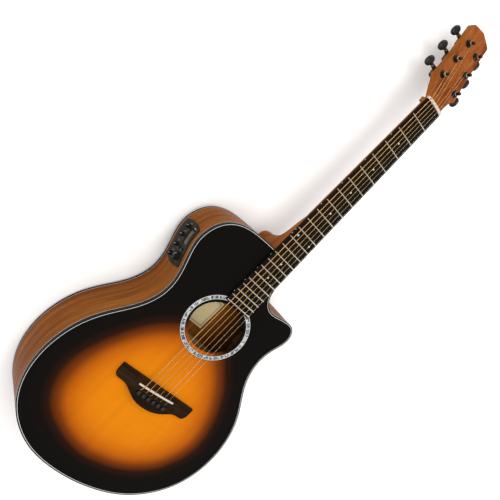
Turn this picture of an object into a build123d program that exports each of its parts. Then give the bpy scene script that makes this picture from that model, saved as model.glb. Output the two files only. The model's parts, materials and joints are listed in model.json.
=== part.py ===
from build123d import *
import math
import os

os.makedirs("parts", exist_ok=True)

# ---------------------------------------------------------------- dimensions
# Working axes: y = 0 at the nut's playing face, body toward -y, +x treble side,
# z = 0 at the crown of the frets. Everything is moved to the final origin
# (centre of the footprint, lowest point of the back) when it is written out.
SHIFT_Y = 341.19
SHIFT_Z = 103.0

SCALE = 650.0            # string length used for the fret positions
N_FRETS = 22
TOP_Z = -6.5             # outer face of the soundboard
TOP_T = 2.8              # soundboard thickness
SIDE_T = 1.8             # side and binding thickness
BIND_H = 6.0             # height of the top binding
BACK_BIND_H = 5.0
LINE_T = 0.7             # white line between binding and side
PURF_W = 0.8             # white line on the soundboard
BACK_R = 7000.0          # radius of the domed back
BACK_Y = -788.0          # lowest point of the dome along the body
BACK_Z = -103.0
BACK_T = 2.6
LINING_W = 5.5
LINING_H = 14.0
JOINT_Y = -358.3         # where the neck meets the body
JOINT_XB = -27.0
JOINT_XT = 28.0

HOLE_Y = -516.8          # centre of the oval soundhole
HOLE_A, HOLE_B = 53.5, 43.5
ROS_IN = (58.0, 49.0)
ROS_OUT = (65.5, 56.4)
ROS_T = 1.2
ROS_LINE = 0.8

NUT_W = 42.5             # fretboard width at the nut
END_W = 57.0             # fretboard width at its end
BOARD_END = -470.5
BOARD_R = 400.0          # crown radius of the fretboard
FRET_H = 1.0
FRET_W = 2.1
TANG_W, TANG_D = 0.6, 1.8
ROD_Z = -12.1            # height of the truss rod and its nut
ROD_R = 2.4              # truss rod radius

HEAD_TILT = 14.0
HEAD_T = 12.3            # core thickness
VENEER_T = 1.2
HEAD_Z0 = -5.0           # face of the headstock at the nut

POST_R = 3.0
POST_TOP = 13.6
WORM_OFF = 7.0           # worm axis from the post axis, toward the tip
WORM_H = -17.5           # worm axis below the face
BUTTON_X = 26.4          # button centre from the post axis
BUTTON_A, BUTTON_B = 7.6, 10.0   # half-lengths of the oval button
BUTTON_TURN = 22.0       # turn of the buttons about their shafts at rest
POSTS = [(-22.9, 53.8), (-19.2, 95.5), (-15.3, 137.3),
         (15.3, 137.3), (19.2, 95.5), (22.9, 53.8)]
BUTTON_TURN = 45.0       # how the buttons stand at rest

BRIDGE_Y = -645.0        # straight front edge of the bridge
BRIDGE_TOP = TOP_Z + 8.0
WING_TOP = TOP_Z + 4.0
SADDLE_B = (-37.5, -657.3)
SADDLE_T = (37.5, -653.8)
SADDLE_W = 3.0
PIN_Y = -669.3
PIN_PITCH = 11.2
STR_NUT = 35.0           # spread of the strings at the nut
STR_BR = 52.5            # and at the saddle
STR_R = [0.67, 0.53, 0.42, 0.32, 0.22, 0.17]
Z_NUT = 0.5              # underside of a string at the nut, on the centreline
Z_SAD = 4.0              # and at the saddle

PRE_TOP, PRE_BOT = -22.0, -78.0
PRE_T = 2.0

# ---------------------------------------------------------------- helpers
nodes = {}


def solid(x):
    s = x.solids() if hasattr(x, "solids") else [x]
    return list(s)


def put(name, *things):
    out = []
    for t in things:
        out += solid(t)
    out = [s for s in out if s.volume > 0.01]
    nodes[name] = out


def box(x0, x1, y0, y1, z0, z1):
    return Pos((x0 + x1) / 2, (y0 + y1) / 2, (z0 + z1) / 2) * Box(x1 - x0, y1 - y0, z1 - z0)


def cyl(p, d, r, length):
    """Cylinder of radius r from p along d."""
    return Solid.make_cylinder(r, length, Plane(origin=p, z_dir=d))


def W(items):
    return Wire([e for o in items for e in o.edges()])


def fuse(items):
    a = items[0]
    for b in items[1:]:
        a = a + b
    return a


# ---------------------------------------------------------------- body outline
BASS = [(-51.4, -359.3), (-77.3, -361.9), (-102.3, -368.7), (-123.5, -383.4),
        (-136.1, -405.9), (-138.9, -431.6), (-132.4, -456.7), (-123.0, -481.0),
        (-116.8, -506.2), (-118.4, -532.0)]
BOUT = [(-128.1, -556.0), (-142.7, -577.5), (-158.9, -597.8), (-173.4, -619.4),
        (-184.3, -643.1), (-191.0, -668.2), (-193.6, -694.0), (-191.8, -719.9),
        (-185.5, -745.1), (-174.4, -768.6), (-158.9, -789.4), (-139.7, -806.9),
        (-117.9, -821.1), (-94.2, -832.0), (-69.3, -839.2), (-43.6, -843.6),
        (-17.7, -846.0)]
TREB = [(118.6, -532.0), (115.9, -508.0), (120.6, -485.0), (128.0, -465.0),
        (128.2, -446.5), (117.5, -433.3), (101.5, -431.2), (83.0, -434.6),
        (65.0, -437.6), (50.0, -434.6), (38.5, -424.2), (31.8, -408.0),
        (29.0, -388.0)]
base_pts = [(JOINT_XB, JOINT_Y)] + BASS + BOUT + [(-x, y) for x, y in reversed(BOUT)] + TREB + [(JOINT_XT, -366.0)]
base = Edge.make_spline([Vector(x, y, 0) for x, y in base_pts],
                        tangents=[Vector(-1, 0, 0), Vector(0, 1, 0)])
NS = 110
SAMP = []
for i in range(NS + 1):
    p = base.position_at(i / NS)
    t = base.tangent_at(i / NS)
    SAMP.append((p.X, p.Y, t.X, t.Y))


def rim(d):
    """Closed wire of the body outline moved inward by d."""
    pts = [Vector(x - ty * d, y + tx * d, 0) for x, y, tx, ty in SAMP]
    sp = Edge.make_spline(pts)
    a, b = pts[-1], pts[0]
    c = Vector(JOINT_XT - d, JOINT_Y - d, 0)
    return Wire([sp, Edge.make_line(a, c), Edge.make_line(c, b)])


def plate(d, z0, z1):
    f = Face(rim(d))
    s = Solid.extrude(f, Vector(0, 0, z1 - z0))
    return s.moved(Location((0, 0, z0)))


def band(d0, d1, z0, z1):
    """Strip of constant width that follows the outline."""
    return plate(d0, z0, z1) - plate(d1, z0 - 1, z1 + 1)


def dome(inset):
    """Ball whose lower skin is the back's outer face moved inward by inset."""
    pl = Plane(origin=(0, BACK_Y, BACK_Z + BACK_R), x_dir=(1, 0, 0), z_dir=(0, 1, 0))
    return Solid.make_sphere(BACK_R - inset, plane=pl, angle1=-90, angle2=90, angle3=360)


def back_z(x, y, inset=0.0):
    r = BACK_R - inset
    return BACK_Z + BACK_R - math.sqrt(r * r - x * x - (y - BACK_Y) ** 2)


LOW = -125.0
D0 = dome(0)
D1 = dome(BACK_T)
D2 = dome(BACK_T + LINING_H)
DB = dome(BACK_BIND_H)
DL = dome(BACK_BIND_H + LINE_T)

neck_block_box = box(-38, JOINT_XT - SIDE_T, -408, JOINT_Y - SIDE_T, LOW, TOP_Z - TOP_T)
tail_block_box = box(-34, 34, -860, -826, LOW, TOP_Z - TOP_T)
tenon_box = box(-10, 10, JOINT_Y - 20, JOINT_Y + 0.0, -82, -13.3)

# preamp opening: a box square to the waist on the bass side
PRE_C = (-133.0, -453.4)
PRE_A = 198.0            # direction that it faces, in degrees
pa = math.radians(PRE_A)
PRE_N = Vector(math.cos(pa), math.sin(pa), 0)
PRE_U = Vector(-math.sin(pa), math.cos(pa), 0)
pre_pl = Plane(origin=(PRE_C[0], PRE_C[1], (PRE_TOP + PRE_BOT) / 2), x_dir=(PRE_U.X, PRE_U.Y, 0), z_dir=(PRE_N.X, PRE_N.Y, 0))


def pre_box(hw, hh, inn, out):
    return pre_pl * (Pos(0, 0, (out - inn) / 2) * Box(2 * hw, 2 * hh, out + inn))


# ---------------------------------------------------------------- body shell
side_ring = band(0, SIDE_T, LOW, TOP_Z - BIND_H - LINE_T) & DL
pre_cut = pre_box(31.3, 23.3, 60, 25)
jack_hole = cyl((0, -870, -55), (0, 1, 0), 6.0, 60)
rod_hole = cyl((0, 0, ROD_Z), (0, -1, 0), ROD_R + 0.1, 420)
side_ring = side_ring - tenon_box - jack_hole - rod_hole
put("side_bass", (side_ring & box(-220, 0, -900, -300, LOW, 10)) - pre_cut)
put("side_treble", side_ring & box(0, 220, -900, -300, LOW, 10))
put("top_binding", band(0, SIDE_T, TOP_Z - BIND_H, TOP_Z) - rod_hole)
put("top_purfling", band(SIDE_T, SIDE_T + PURF_W, TOP_Z - TOP_T, TOP_Z),
    band(0, SIDE_T, TOP_Z - BIND_H - LINE_T, TOP_Z - BIND_H) - rod_hole)
ring_low = band(0, SIDE_T, LOW, -70)
put("back_binding", (ring_low & D0) - DB)
put("back_purfling", (ring_low & DB) - DL)
put("back_panel", (plate(SIDE_T, LOW, -70) & D0) - D1)

top_ring = band(SIDE_T, SIDE_T + LINING_W, TOP_Z - TOP_T - LINING_H, TOP_Z - TOP_T)
put("top_lining", top_ring - neck_block_box - tail_block_box)
low_ring = band(SIDE_T, SIDE_T + LINING_W, LOW, -60)
put("back_lining", ((low_ring & D1) - D2) - neck_block_box - tail_block_box)

inside = plate(SIDE_T, LOW, TOP_Z - TOP_T)
put("neck_block", ((inside & neck_block_box) & D1) - tenon_box - rod_hole)
put("tail_block", ((inside & tail_block_box) & D1) - jack_hole)


def ell(a, b, z0, z1):
    return Pos(0, HOLE_Y, z0) * extrude(Ellipse(a, b), z1 - z0)


board = plate(SIDE_T + PURF_W, TOP_Z - TOP_T, TOP_Z)
board = board - ell(HOLE_A, HOLE_B, -12, 0)
ros_ring = ell(ROS_OUT[0] + ROS_LINE, ROS_OUT[1] + ROS_LINE, TOP_Z - ROS_T, TOP_Z) - ell(ROS_IN[0] - ROS_LINE, ROS_IN[1] - ROS_LINE, -12, 0)
pins_x = [(-2.5 + i) * PIN_PITCH for i in range(6)]
pin_holes = [cyl((x, PIN_Y, 5), (0, 0, -1), 2.6, 30) for x in pins_x]
board = board - ros_ring
for h in pin_holes:
    board = board - h
put("soundboard", board)
put("rosette", ell(ROS_OUT[0], ROS_OUT[1], TOP_Z - ROS_T, TOP_Z) - ell(ROS_IN[0], ROS_IN[1], -12, 0))
put("rosette_lines",
    ell(ROS_OUT[0] + ROS_LINE, ROS_OUT[1] + ROS_LINE, TOP_Z - ROS_T, TOP_Z) - ell(ROS_OUT[0], ROS_OUT[1], -12, 0),
    ell(ROS_IN[0], ROS_IN[1], TOP_Z - ROS_T, TOP_Z) - ell(ROS_IN[0] - ROS_LINE, ROS_IN[1] - ROS_LINE, -12, 0))

# ---------------------------------------------------------------- bracing
Z1 = TOP_Z - TOP_T


def bar(x0, y0, x1, y1, w, h):
    """Straight brace under the soundboard with its lower edges eased."""
    length = math.hypot(x1 - x0, y1 - y0)
    ang = math.degrees(math.atan2(y1 - y0, x1 - x0))
    pts = [(-w / 2, 0), (w / 2, 0), (w / 2, -h * 0.55), (w * 0.18, -h), (-w * 0.18, -h), (-w / 2, -h * 0.55)]
    sk = make_face(Polyline(*pts, close=True))
    pl = Plane(origin=(x0, y0, Z1), x_dir=(-math.sin(math.radians(ang)), math.cos(math.radians(ang)), 0),
               z_dir=(math.cos(math.radians(ang)), math.sin(math.radians(ang)), 0))
    return extrude(pl * sk, length)


XC = -598.0
bass_leg = bar(-104, XC + 104, 152, XC - 152, 7, 12)
treb_leg = bar(104, XC + 104, -152, XC - 152, 7, 12)
lap = box(-8, 8, XC - 8, XC + 8, Z1 - 14, Z1)
lap_hi = box(-8, 8, XC - 8, XC + 8, Z1 - 6, Z1)
lap_lo = box(-8, 8, XC - 8, XC + 8, Z1 - 14, Z1 - 6)
both = bass_leg & treb_leg & lap
leg_a = bass_leg - (both & lap_lo)
leg_b = treb_leg - (both & lap_hi)
upper = bar(-118, -455, 116, -455, 10, 12) - cyl((0, -430, -13), (0, -1, 0), 3.0, 50)
tone1 = bar(-62, -700, 70, -735, 6, 8)
tone2 = bar(-40, -752, 84, -785, 6, 8)
fing1 = bar(-112, -640, -158, -660, 6, 7)
fing2 = bar(112, -640, 158, -660, 6, 7)
strut1 = bar(-68.5, -470, -68.5, -520, 5, 4)
strut2 = bar(68.5, -470, 68.5, -520, 5, 4)
clear_zone = plate(SIDE_T + LINING_W, -40, TOP_Z)
braces = []
for b in (leg_a, leg_b, upper, tone1, tone2, fing1, fing2, strut1, strut2):
    braces.append(b & clear_zone)
bp_face = make_face(Polyline((-42, -653), (42, -653), (80, -691), (-80, -691), close=True))
plate_b = Pos(0, 0, Z1 - 2.5) * extrude(bp_face, 2.5)
tone1_cut = braces[3]
for h in pin_holes:
    plate_b = plate_b - h
put("top_braces", *braces)
put("bridge_plate", plate_b)

back_in = plate(SIDE_T + LINING_W, LOW, -60) & D1
bb = []
for y, w, h in ((-430, 8, 11), (-572, 8, 12), (-662, 16, 8), (-762, 16, 8)):
    bb.append((box(-190, 190, y - w / 2, y + w / 2, LOW, -60) & back_in) - dome(BACK_T + h))
put("back_braces", *bb)
put("label", (box(-40, 40, HOLE_Y - 32, HOLE_Y + 28, LOW, -60) & D1) - dome(BACK_T + 0.35))

# ---------------------------------------------------------------- neck
def width(y):
    return NUT_W + (END_W - NUT_W) * (-y) / 470.0


def sec(y, hw, dep, z=TOP_Z):
    pl = Plane(origin=(0, y, z), x_dir=(1, 0, 0), z_dir=(0, -1, 0))
    pts = [(-hw * math.cos(math.radians(a)), -dep * math.sin(math.radians(a))) for a in range(0, 181, 15)]
    arc = Spline(*pts, tangents=[(0, -1), (0, 1)])
    ln = Line(arc @ 1, arc @ 0)
    return pl * make_face(W([arc, ln]))


shaft = loft([sec(4.8, NUT_W / 2, 14.0), sec(-150, width(-150) / 2, 14.8), sec(-330, width(-330) / 2, 15.8)])


def heel_sec(z, hw, nose):
    n = 2.5
    L = nose - JOINT_Y
    pts = []
    for i in range(0, 17):
        a = math.pi * i / 16
        c, s = math.cos(a), math.sin(a)
        pts.append((hw * math.copysign(abs(c) ** (2 / n), c), JOINT_Y + L * abs(s) ** (2 / n)))
    sp = Spline(*[Vector(x, y, z) for x, y in pts], tangents=[Vector(0, 1, 0), Vector(0, -1, 0)])
    return make_face(W([sp, Edge.make_line(sp @ 1, sp @ 0)]))


heel = loft([heel_sec(z, hw, nose) for z, hw, nose in
             ((TOP_Z, 26.7, -245), (-12, 26.4, -245), (-16, 26.0, -251), (-20, 25.4, -269), (-24, 24.7, -293), (-34, 22.6, -320), (-46, 20.6, -331.5),
              (-60, 19.0, -337.5), (-75, 18.0, -340), (-88, 17.2, -341))])


def head_pt(x, s, h=0.0):
    t = math.radians(HEAD_TILT)
    return Vector(x, s * math.cos(t) + h * math.sin(t), HEAD_Z0 - s * math.sin(t) + h * math.cos(t))


_t = math.radians(HEAD_TILT)
HEAD_PL = Plane(origin=(0, 0, HEAD_Z0), x_dir=(1, 0, 0), z_dir=(0, math.sin(_t), math.cos(_t)))
HP = [(34.4, 44.6), (28.5, 129.0), (28.6, 171.2)]


def head_face(s_low):
    side_r = Spline((34.2, 46.2), (31.4, 68), (29.6, 97), (28.6, 130), (28.6, 170.6))
    top_r = Spline((26.8, 173.0), (14.0, 177.4), (0.9, 181.2))
    cor_r = Line(side_r @ 1, top_r @ 0)
    tip = Line((0.9, 181.2), (-0.9, 181.2))
    low = Spline((21.4, s_low), (22.0, 19.5), (25.2, 30.0), (32.4, 41.6), tangents=[(0, 1), (0.86, 0.6)])
    lobe = Spline(low @ 1, (34.3, 43.6), side_r @ 0, tangents=[(0.86, 0.6), (-0.13, 1)])
    right = [low, lobe, side_r, cor_r, top_r]
    edges = []
    for e in right:
        edges.append(e)
        edges.append(mirror(e, Plane.YZ))
    edges.append(tip)
    edges.append(Line((21.4, s_low), (-21.4, s_low)))
    return make_face(W(edges))


hf = head_face(-6.0)
head_core = HEAD_PL * extrude(hf, -(HEAD_T + VENEER_T))
head_core = head_core - (HEAD_PL * (Pos(0, 0, -VENEER_T) * extrude(Rectangle(200, 600), 40)))
head_core = head_core - box(-30, 30, -40, 5.0, TOP_Z, 20)
veneer = HEAD_PL * (Pos(0, 0, -VENEER_T) * extrude(hf, VENEER_T))
veneer = veneer - box(-40, 40, -40, 5.0, -40, 20)

heel_zone = dome(0)
corner = (head_core & box(-60, 60, -20, 0.6, -60, 0)) - shaft
neck = shaft + (heel & heel_zone) + head_core
neck = neck - corner
# the back corners of the head run out toward the nut
for sx in (-1, 1):
    pa_, pb_, pc_ = Vector(sx * 21.6, 0, -1.5), Vector(sx * 9.5, 0, -13.5), Vector(sx * 31.0, 40, -13.5)
    nv = (pb_ - pa_).cross(pc_ - pa_).normalized()
    if nv.Z > 0:
        nv = nv * -1
    cutter = HEAD_PL * (Plane(origin=(pa_.X, pa_.Y, pa_.Z), z_dir=(nv.X, nv.Y, nv.Z)) * (Pos(0, 0, 20) * Box(150, 150, 40)))
    neck = neck - (cutter & box(-60, 60, 0.6, 80, -120, 60))
neck = neck - box(-60, 60, -400, 5.0, TOP_Z, 20)
neck = neck - box(-60, 60, -400, JOINT_Y, -130, 20)
neck = neck + tenon_box
rod_slot = cyl((0, -12, ROD_Z), (0, -1, 0), ROD_R + 0.1, 400)
neck = neck - rod_slot
for xp, sp_ in POSTS:
    neck = neck - (HEAD_PL * (Pos(xp, sp_, -20) * Cylinder(5.0, 60)))
    veneer = veneer - (HEAD_PL * (Pos(xp, sp_, 0) * Cylinder(5.0, 60)))
for xp, sp_ in POSTS:
    neck = neck - (HEAD_PL * (Pos(xp, sp_ - 11.0, -(HEAD_T + VENEER_T) + 0.4) * Cylinder(1.0, 14)))
put("neck", neck)
put("headstock_veneer", veneer)
rod = cyl((0, -13, ROD_Z), (0, -1, 0), ROD_R, 396) + cyl((0, -409, ROD_Z), (0, -1, 0), 1.5, 5.5)
put("truss_rod", rod)
nutk = cyl((0, -410.2, ROD_Z), (0, -1, 0), 2.5, 11.0)
nutk = nutk - (Plane(origin=(0, -421.3, ROD_Z), z_dir=(0, 1, 0)) * extrude(RegularPolygon(1.7, 6), 6.0))
nutk = nutk - cyl((0, -410.0, ROD_Z), (0, -1, 0), 1.56, 5.0)
put("truss_rod_nut", nutk)

# ---------------------------------------------------------------- fretboard
fb = make_face(Polyline((-NUT_W / 2, 0), (NUT_W / 2, 0), (width(BOARD_END) / 2, BOARD_END), (-width(BOARD_END) / 2, BOARD_END), close=True))
fb = Pos(0, 0, TOP_Z) * extrude(fb, 8)
crown = Solid.make_cylinder(BOARD_R, 600, Plane(origin=(0, 50, -FRET_H - BOARD_R), z_dir=(0, -1, 0), x_dir=(0, 0, -1)))
fb = fb & crown


def fret_y(n):
    return -SCALE * (1 - 2 ** (-n / 12))


frets = []
dots = []
tangs = []
for n in range(1, N_FRETS + 1):
    y = fret_y(n)
    w = width(y) - 0.6
    half = math.degrees(math.asin(w / 2 / BOARD_R))
    R0 = BOARD_R
    prof = make_face(W([Spline((-FRET_W / 2, R0), (-FRET_W * 0.36, R0 + FRET_H * 0.72), (0, R0 + FRET_H), (FRET_W * 0.36, R0 + FRET_H * 0.72), (FRET_W / 2, R0)),
                           Polyline((FRET_W / 2, R0), (TANG_W / 2, R0), (TANG_W / 2, R0 - TANG_D), (-TANG_W / 2, R0 - TANG_D), (-TANG_W / 2, R0), (-FRET_W / 2, R0))]))
    pl = Plane(origin=(0, y, -FRET_H - BOARD_R), x_dir=(0, 1, 0), z_dir=(1, 0, 0))
    f = revolve(pl * prof, Axis((0, y, -FRET_H - BOARD_R), (0, 1, 0)), 2 * half)
    f = f.rotate(Axis((0, y, -FRET_H - BOARD_R), (0, 1, 0)), -half)
    bbx = f.bounding_box()
    if abs(bbx.min.X + bbx.max.X) > 0.5:
        f = f.rotate(Axis((0, y, -FRET_H - BOARD_R), (0, 1, 0)), 2 * half if bbx.max.X < 1 else -2 * half)
        bbx = f.bounding_box()
    frets.append(f)
    tangs.append(box(-w / 2 - 0.6, w / 2 + 0.6, y - TANG_W / 2, y + TANG_W / 2, -FRET_H - TANG_D - 1.6, 5))
put("frets", *frets)


def dot(x, y, r=3.1):
    return Pos(x, y, 0) * Cylinder(r, 20) & (crown & box(-40, 40, y - 8, y + 8, -3.2, 5))


marks = []
for n in (3, 5, 7, 9, 15, 17):
    marks.append((0.0, (fret_y(n) + fret_y(n - 1)) / 2))
marks += [(-16.0, (fret_y(12) + fret_y(11)) / 2), (16.0, (fret_y(12) + fret_y(11)) / 2)]
for x, y in marks:
    dots.append(dot(x, y, 1.7))
sides = []
for n in (3, 5, 7, 9, 12, 15, 17, 19, 21):
    ym = (fret_y(n) + fret_y(n - 1)) / 2
    for dy in ((-4.0, 4.0) if n == 12 else (0.0,)):
        xe = -width(ym + dy) / 2
        sides.append(cyl((xe - 1, ym + dy, -4.3), (1, 0, 0), 1.0, 4.0) & fb)
for t in tangs:
    fb = fb - t
for f in frets:
    pass
for d in dots + sides:
    fb = fb - d
put("fretboard", fb)
put("position_dots", *(dots + sides))

# ---------------------------------------------------------------- strings
def str_x(i, y):
    """Across position of string i between the nut (y = 0) and the saddle."""
    a = -STR_NUT / 2 + STR_NUT * i / 5
    b = -STR_BR / 2 + STR_BR * i / 5
    return a + (b - a) * (-y) / 655.0


def sad_y(x):
    k = (x - SADDLE_B[0]) / (SADDLE_T[0] - SADDLE_B[0])
    return SADDLE_B[1] + k * (SADDLE_T[1] - SADDLE_B[1])


HS = 4.4                 # height at which a string reaches its post, above the face
string_parts = []
string_solids = []
coils = []
order = [0, 1, 2, 3, 4, 5]
for i in range(6):
    r = STR_R[i]
    xn = str_x(i, 0)
    xs = str_x(i, -655)
    ys = sad_y(xs)
    zn = Z_NUT - xn * xn / (2 * BOARD_R) + r
    zs = Z_SAD - xs * xs / (2 * BOARD_R) + r
    xp, sp_ = POSTS[i]
    inner = 1 if xp < 0 else -1
    rho = POST_R + r + 0.12
    nutb = Vector(xn * 0.99, 5.0, zn - 0.15)
    # tangent from the nut to the post, seen square to the headstock face
    loc = HEAD_PL.to_local_coords(nutb)
    px, ps = loc.X, loc.Y
    dx, ds = xp - px, sp_ - ps
    dist = math.hypot(dx, ds)
    a0 = math.atan2(ds, dx)
    off = math.asin(rho / dist)
    L = math.sqrt(dist * dist - rho * rho)
    ang = a0 - inner * off
    hh = HS + (1.0 if i in (2, 3) else 0.0)
    tx, ts = px + L * math.cos(ang), ps + L * math.sin(ang)
    tp = head_pt(tx, ts, hh)
    pts = [tp, nutb, Vector(xn, 0.0, zn), Vector(xs, ys, zs)]
    yp = PIN_Y + 3.1
    xpn = pins_x[i]
    pts += [Vector(xpn, yp, BRIDGE_TOP - 0.2), Vector(xpn, yp - 0.4, BRIDGE_TOP - 6.0)]
    segs = []
    for a, b in zip(pts[:-1], pts[1:]):
        d = b - a
        segs.append(Solid.make_cylinder(r, d.length, Plane(origin=a, z_dir=d)))
    for p in pts[1:-1]:
        segs.append(Pos(p.X, p.Y, p.Z) * Sphere(r))
    s = fuse(segs)
    string_parts.append(s)
    coils.append((i, r, hh))

# ---------------------------------------------------------------- nut, bridge, saddle, pins
nut = box(-NUT_W / 2 + 0.1, NUT_W / 2 - 0.1, 0, 5.0, TOP_Z, 2.2)
nut = nut & (Pos(0, 2.5, -60.0 + 1.9) * (Rotation(90, 0, 0) * Cylinder(60.0, 5.0)) + box(-30, 30, 0, 5, TOP_Z, -3.0))
top_edge = nut.edges().filter_by(lambda e: e.center().Z > 0.5)
for i in range(6):
    xn = str_x(i, 0)
    r = STR_R[i]
    zn = Z_NUT - xn * xn / (2 * BOARD_R) + r
    nut = nut - box(xn - r, xn + r, -1, 6, zn - 0.15, 6)
for s in string_parts:
    nut = nut - s
put("nut", nut)


def mirror_pts(pts):
    return [(-x, y) for x, y in reversed(pts)]


hb = [(80.6, BRIDGE_Y - 13.5), (78.6, BRIDGE_Y - 20.0), (71.5, BRIDGE_Y - 24.3)]
belly = [(64.0, -669.6), (56.0, -670.4), (48.0, -673.0), (40.0, -676.8), (30.0, -681.4), (16.0, -685.6), (0.0, -686.8)]
e1 = Line((-80.0, BRIDGE_Y), (80.0, BRIDGE_Y))
c1 = Line((80.0, BRIDGE_Y), (81.0, BRIDGE_Y - 1.0))
s1 = Line((81.0, BRIDGE_Y - 1.0), (80.6, BRIDGE_Y - 13.5))
k1 = Spline(*hb, tangents=[(-0.03, -1), (-1, 0)])
b1 = Spline((71.5, BRIDGE_Y - 24.3), *belly, *[(-x, y) for x, y in reversed(belly[:-1])], (-71.5, BRIDGE_Y - 24.3), tangents=[(-1, 0), (-1, 0)])
k2, s2, c2 = mirror(k1, Plane.YZ), mirror(s1, Plane.YZ), mirror(c1, Plane.YZ)
br_face = make_face(W((e1, c1, s1, k1, b1, k2, s2, c2)))
br = Pos(0, 0, TOP_Z) * extrude(br_face, 12)
prof = make_face(W([Spline((34, BRIDGE_TOP), (46, (BRIDGE_TOP + WING_TOP) / 2 + 0.4), (60, WING_TOP), tangents=[(1, 0), (1, 0)]),
                       Polyline((60, WING_TOP), (82, WING_TOP), (82, TOP_Z), (-82, TOP_Z), (-82, WING_TOP), (-60, WING_TOP)),
                       Spline((-60, WING_TOP), (-46, (BRIDGE_TOP + WING_TOP) / 2 + 0.4), (-34, BRIDGE_TOP), tangents=[(1, 0), (1, 0)]),
                       Line((-34, BRIDGE_TOP), (34, BRIDGE_TOP))]))
prof = Plane(origin=(0, -640, 0), x_dir=(1, 0, 0), z_dir=(0, -1, 0)) * prof
br = br & extrude(prof, 60)
sa = math.degrees(math.atan2(SADDLE_T[1] - SADDLE_B[1], SADDLE_T[0] - SADDLE_B[0]))
smid = ((SADDLE_B[0] + SADDLE_T[0]) / 2, (SADDLE_B[1] + SADDLE_T[1]) / 2)
slen = math.hypot(SADDLE_T[0] - SADDLE_B[0], SADDLE_T[1] - SADDLE_B[1])
sad_pl = Plane(origin=(smid[0], smid[1], 0)).rotated((0, 0, sa))
SLOT_Z = BRIDGE_TOP - 5.6
slot = sad_pl * (Pos(0, 0, (SLOT_Z + 10) / 2) * Box(slen, SADDLE_W, 10 - SLOT_Z))
br = br - slot
pick = sad_pl * (Pos(0, 0, SLOT_Z + 0.5) * Box(slen - 2, SADDLE_W - 0.2, 1.0))
sad = sad_pl * (Pos(0, 0, (SLOT_Z + 1.0 + Z_SAD + 0.25) / 2) * Box(slen - 0.2, SADDLE_W, Z_SAD + 0.25 - SLOT_Z - 1.0))
sad = sad & (sad_pl * (Rotation(90, 0, 0) * (Pos(0, Z_SAD + 0.2 - BOARD_R, 0) * Cylinder(BOARD_R, 20))))
for s in string_parts:
    sad = sad - s
for h in pin_holes:
    br = br - h
pins = []
for i, x in enumerate(pins_x):
    ax = Plane(origin=(x, PIN_Y, 0), x_dir=(1, 0, 0), z_dir=(0, -1, 0))
    z = BRIDGE_TOP
    pr = make_face(W([Polyline((0, z - 21), (1.9, z - 21), (2.55, z), (3.3, z), (3.3, z + 0.7), (2.7, z + 1.1), (3.9, z + 2.0)),
                         Spline((3.9, z + 2.0), (3.9, z + 3.0), (2.6, z + 4.4), (0, z + 5.0), tangents=[(0.3, 1), (-1, 0)]),
                         Line((0, z + 5.0), (0, z - 21))]))
    pin = revolve(ax * pr, Axis((x, PIN_Y, 0), (0, 0, 1)), 360)
    pin = pin - string_parts[i]
    pins.append(pin)
for s in string_parts:
    br = br - s
put("bridge", br)
put("saddle", sad)
put("pickup", pick)
put("bridge_pins", *pins)
put("strings_wound", *string_parts[:4])
put("strings_plain", *string_parts[4:])

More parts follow.
